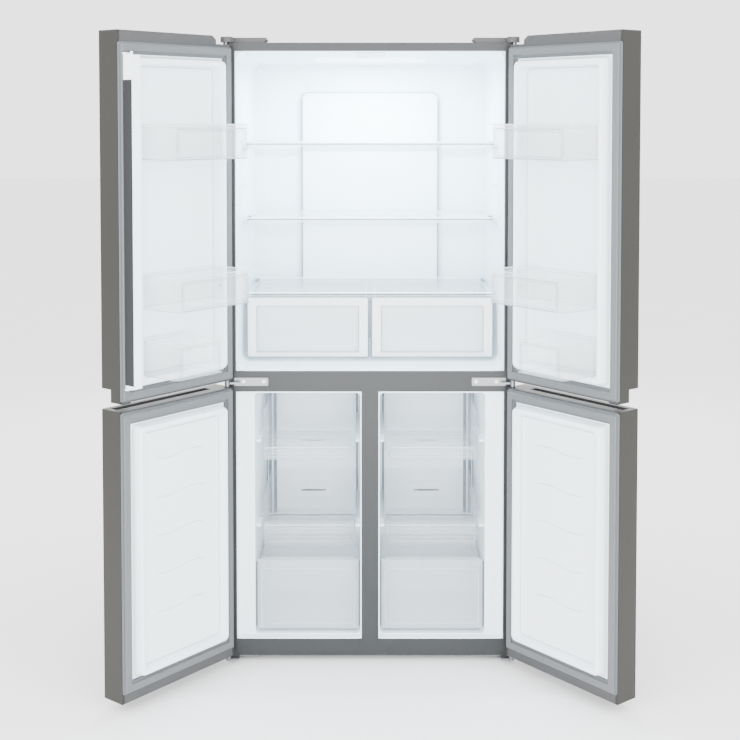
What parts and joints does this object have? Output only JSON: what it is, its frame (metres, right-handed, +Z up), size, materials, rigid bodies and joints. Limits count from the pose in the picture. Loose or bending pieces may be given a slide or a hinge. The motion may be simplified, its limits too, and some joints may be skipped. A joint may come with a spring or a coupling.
{
  "type": "french door refrigerator",
  "caption": "Wide french door refrigerator with twin upper doors over twin freezer doors, clear bins, shelves, crispers and freezer baskets, doors open.",
  "frame": {"origin": "middle of the footprint of the whole object with its doors open, on the floor", "axes": "+Z up; the doors face -Y; +X to the right when looking at the doors"},
  "size_m": [1.4138, 0.9808, 1.799],
  "materials": {
    "steel_graphite": "satin brushed-look grey paint",
    "frame_grey": "satin grey paint",
    "liner_white": "semi-gloss vacuum-formed plastic",
    "foam": "rigid foam",
    "galvanised": "galvanised sheet",
    "compressor_black": "gloss black enamel",
    "coil_steel": "dip painted tube",
    "fan_plastic": "glass-filled plastic",
    "coil_aluminium": "bare",
    "lamp_lens": "frosted diffuser",
    "glass": "toughened glass",
    "trim_plastic": "moulded",
    "clear_plastic": "clear moulded plastic",
    "cap_plastic": "fine grained dark plastic",
    "gasket_grey": "soft vinyl",
    "hinge_steel": "zinc plated",
    "screw_steel": "zinc plated",
    "strip_metal": "satin coated strip",
    "wheel_plastic": "moulded"
  },
  "bodies": {
    "cabinet": {"cabinet_shell": "steel_graphite", "front_frame": "frame_grey", "fridge_liner": "liner_white", "freezer_liners": "liner_white", "insulation_foam": "foam", "rear_covers": "galvanised", "base_pan": "galvanised", "compressor": "compressor_black", "condenser_coil": "coil_steel", "condenser_fan_frame": "fan_plastic", "evaporator": "coil_aluminium", "fridge_duct_cover": "liner_white", "freezer_duct_covers": "liner_white", "fridge_lamp_lens": "lamp_lens", "mullion_guide": "trim_plastic", "shelf_glasses": "glass", "shelf_trims": "trim_plastic", "crisper_cover_frame": "trim_plastic", "hinges": "hinge_steel", "top_hinge_covers": "cap_plastic", "hinge_screws": "screw_steel"},
    "condenser_fan": {"condenser_fan_blade": "fan_plastic"},
    "evaporator_fan": {"evaporator_fan_blade": "fan_plastic"},
    "rollers": {"rear_rollers": "wheel_plastic"},
    "centre_bar": {"mullion_bar": "liner_white", "mullion_face": "strip_metal"},
    "upper_left_door": {"upper_left_door_skin": "steel_graphite", "upper_left_door_end_caps": "cap_plastic", "upper_left_door_liner": "liner_white", "upper_left_door_foam": "foam", "upper_left_door_gasket": "gasket_grey", "upper_left_door_bins": "clear_plastic"},
    "lower_left_door": {"lower_left_door_skin": "steel_graphite", "lower_left_door_end_caps": "cap_plastic", "lower_left_door_liner": "liner_white", "lower_left_door_foam": "foam", "lower_left_door_gasket": "gasket_grey"},
    "crisper_left": {"crisper_left": "clear_plastic", "crisper_left_front": "trim_plastic"},
    "freezer_left_middle": {"freezer_left_middle_basket": "clear_plastic"},
    "freezer_left_upper": {"freezer_left_upper_basket": "clear_plastic"},
    "freezer_left_lower": {"freezer_left_lower_drawer": "clear_plastic"},
    "foot_left": {"front_foot_left": "wheel_plastic"},
    "upper_right_door": {"upper_right_door_skin": "steel_graphite", "upper_right_door_end_caps": "cap_plastic", "upper_right_door_liner": "liner_white", "upper_right_door_foam": "foam", "upper_right_door_gasket": "gasket_grey", "upper_right_door_bins": "clear_plastic"},
    "lower_right_door": {"lower_right_door_skin": "steel_graphite", "lower_right_door_end_caps": "cap_plastic", "lower_right_door_liner": "liner_white", "lower_right_door_foam": "foam", "lower_right_door_gasket": "gasket_grey"},
    "crisper_right": {"crisper_right": "clear_plastic", "crisper_right_front": "trim_plastic"},
    "freezer_right_middle": {"freezer_right_middle_basket": "clear_plastic"},
    "freezer_right_upper": {"freezer_right_upper_basket": "clear_plastic"},
    "freezer_right_lower": {"freezer_right_lower_drawer": "clear_plastic"},
    "foot_right": {"front_foot_right": "wheel_plastic"}
  },
  "joints": [
    {"name": "upper_left_door_hinge", "type": "hinge", "parent": "cabinet", "child": "upper_left_door", "pos_m": [-0.4065, -0.13258, 1.799], "axis": [0, 0, 1], "range_deg": [0, 129]},
    {"name": "lower_left_door_hinge", "type": "hinge", "parent": "cabinet", "child": "lower_left_door", "pos_m": [-0.4065, -0.13258, 0.028], "axis": [0, 0, 1], "range_deg": [0, 129]},
    {"name": "crisper_left_slide", "type": "slide", "parent": "cabinet", "child": "crisper_left", "axis": [0, 1, 0], "range_m": [-0.3, 0]},
    {"name": "freezer_left_middle_slide", "type": "slide", "parent": "cabinet", "child": "freezer_left_middle", "axis": [0, 1, 0], "range_m": [-0.31, 0]},
    {"name": "freezer_left_upper_slide", "type": "slide", "parent": "cabinet", "child": "freezer_left_upper", "axis": [0, 1, 0], "range_m": [-0.31, 0]},
    {"name": "freezer_left_lower_slide", "type": "slide", "parent": "cabinet", "child": "freezer_left_lower", "axis": [0, 1, 0], "range_m": [-0.26, 0]},
    {"name": "foot_left_screw", "type": "hinge", "parent": "cabinet", "child": "foot_left", "pos_m": [-0.3785, -0.06558, 0.01], "axis": [0, 0, 1], "continuous": true},
    {"name": "upper_right_door_hinge", "type": "hinge", "parent": "cabinet", "child": "upper_right_door", "pos_m": [0.4065, -0.13258, 1.799], "axis": [0, 0, -1], "range_deg": [0, 129]},
    {"name": "lower_right_door_hinge", "type": "hinge", "parent": "cabinet", "child": "lower_right_door", "pos_m": [0.4065, -0.13258, 0.028], "axis": [0, 0, -1], "range_deg": [0, 129]},
    {"name": "crisper_right_slide", "type": "slide", "parent": "cabinet", "child": "crisper_right", "axis": [0, 1, 0], "range_m": [-0.3, 0]},
    {"name": "freezer_right_middle_slide", "type": "slide", "parent": "cabinet", "child": "freezer_right_middle", "axis": [0, 1, 0], "range_m": [-0.31, 0]},
    {"name": "freezer_right_upper_slide", "type": "slide", "parent": "cabinet", "child": "freezer_right_upper", "axis": [0, 1, 0], "range_m": [-0.31, 0]},
    {"name": "freezer_right_lower_slide", "type": "slide", "parent": "cabinet", "child": "freezer_right_lower", "axis": [0, 1, 0], "range_m": [-0.26, 0]},
    {"name": "foot_right_screw", "type": "hinge", "parent": "cabinet", "child": "foot_right", "pos_m": [0.3785, -0.06558, 0.01], "axis": [0, 0, 1], "continuous": true},
    {"name": "centre_bar_fold", "type": "hinge", "parent": "upper_left_door", "child": "centre_bar", "pos_m": [-0.63136, -0.45554, 1.3005], "axis": [0, 0, 1], "range_deg": [-90, 0]},
    {"name": "condenser_fan_spin", "type": "hinge", "parent": "cabinet", "child": "condenser_fan", "pos_m": [-0.0265, 0.40442, 0.099], "axis": [1, 0, 0], "continuous": true},
    {"name": "evaporator_fan_spin", "type": "hinge", "parent": "cabinet", "child": "evaporator_fan", "pos_m": [-0.18075, 0.36042, 0.512], "axis": [0, 1, 0], "continuous": true},
    {"name": "rollers_spin", "type": "hinge", "parent": "cabinet", "child": "rollers", "pos_m": [0, 0.42242, 0.02], "axis": [1, 0, 0], "continuous": true}
  ],
  "couplings": [
    {"joint": "centre_bar_fold", "follows": "upper_left_door_hinge", "ratio": -0.69767}
  ]
}
